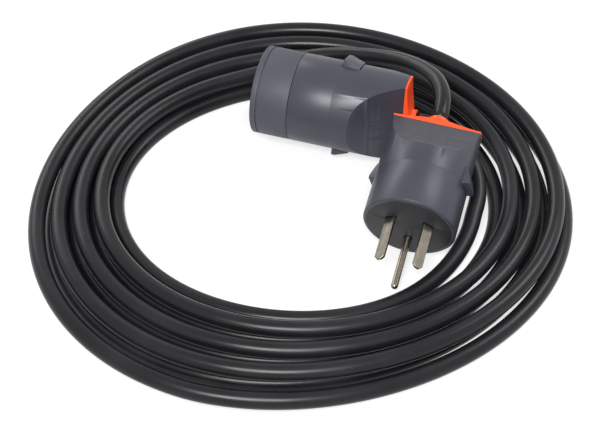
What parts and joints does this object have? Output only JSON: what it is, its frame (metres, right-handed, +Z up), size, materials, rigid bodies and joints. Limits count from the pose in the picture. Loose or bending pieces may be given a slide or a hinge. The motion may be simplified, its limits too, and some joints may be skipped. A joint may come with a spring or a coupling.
{
  "type": "shore power cord",
  "caption": "Shore power cord: black cable in a free coil, a plug with two angled blades and a round pin, and a connector with a turning locking ring; grey shells, orange end caps.",
  "frame": {"origin": "centre of the whole cord's bounding box, at the level of the ground it lies on", "axes": "+Z up; -Y towards the pins' side, from which the plug is seen; +X to the right of that view"},
  "size_m": [0.3368, 0.3294, 0.0648],
  "materials": {
    "grey_shell": "semi-matt moulded plastic",
    "matt_ring": "finely textured matt plastic",
    "dark_insert": "dark moulded insert",
    "orange_cap": "soft-touch orange plastic",
    "plated_pins": "nickel-plated brass",
    "brass_contacts": "plain brass",
    "steel_screws": "zinc-plated steel",
    "black_nylon": "plain black plastic",
    "core_black": "conductor insulation",
    "core_white": "conductor insulation",
    "core_green": "conductor insulation",
    "cable_jacket": "smooth black jacket"
  },
  "bodies": {
    "cord": {"plug_sleeve": "grey_shell", "plug_face": "dark_insert", "plug_blade_left": "plated_pins", "plug_blade_right": "plated_pins", "plug_ground_pin": "plated_pins", "plug_shell": "grey_shell", "plug_cap": "orange_cap", "plug_grip_lower": "black_nylon", "plug_grip_upper": "black_nylon", "plug_grip_screws": "steel_screws", "plug_terminal_screws": "brass_contacts", "plug_jacket": "cable_jacket", "plug_core_left": "core_black", "plug_core_right": "core_white", "plug_core_ground": "core_green", "socket_sleeve": "grey_shell", "socket_face": "dark_insert", "socket_contact_left": "brass_contacts", "socket_contact_right": "brass_contacts", "socket_contact_ground": "brass_contacts", "socket_shell": "grey_shell", "socket_cap": "orange_cap", "socket_grip_lower": "black_nylon", "socket_grip_upper": "black_nylon", "socket_grip_screws": "steel_screws", "socket_terminal_screws": "brass_contacts", "socket_jacket": "cable_jacket", "socket_core_left": "core_black", "socket_core_right": "core_white", "socket_core_ground": "core_green", "cord_coil": "cable_jacket", "cord_plug_lead": "cable_jacket", "cord_socket_lead": "cable_jacket"},
    "ring": {"locking_ring": "matt_ring"},
    "plug_catch_right": {"plug_catch_a": "grey_shell"},
    "plug_catch_left": {"plug_catch_b": "grey_shell"},
    "socket_catch_upper": {"socket_catch_b": "grey_shell"},
    "socket_catch_lower": {"socket_catch_a": "grey_shell"}
  },
  "joints": [
    {"name": "ring_turn", "type": "hinge", "parent": "cord", "child": "ring", "pos_m": [-0.01427, 0.07391, 0.03223], "axis": [-0.9537, 0.3007, 0], "continuous": true},
    {"name": "plug_catch_a_press", "type": "slide", "parent": "cord", "child": "plug_catch_right", "axis": [-0.9194, 0.3142, -0.2366], "range_m": [0, 0.0016], "stiffness_N_per_m": 2000},
    {"name": "plug_catch_b_press", "type": "slide", "parent": "cord", "child": "plug_catch_left", "axis": [0.9194, -0.3142, 0.2366], "range_m": [0, 0.0016], "stiffness_N_per_m": 2000},
    {"name": "socket_catch_a_press", "type": "slide", "parent": "cord", "child": "socket_catch_lower", "axis": [0.1247, 0.3955, 0.91], "range_m": [0, 0.0016], "stiffness_N_per_m": 2000},
    {"name": "socket_catch_b_press", "type": "slide", "parent": "cord", "child": "socket_catch_upper", "axis": [-0.1247, -0.3955, -0.91], "range_m": [0, 0.0016], "stiffness_N_per_m": 2000}
  ]
}
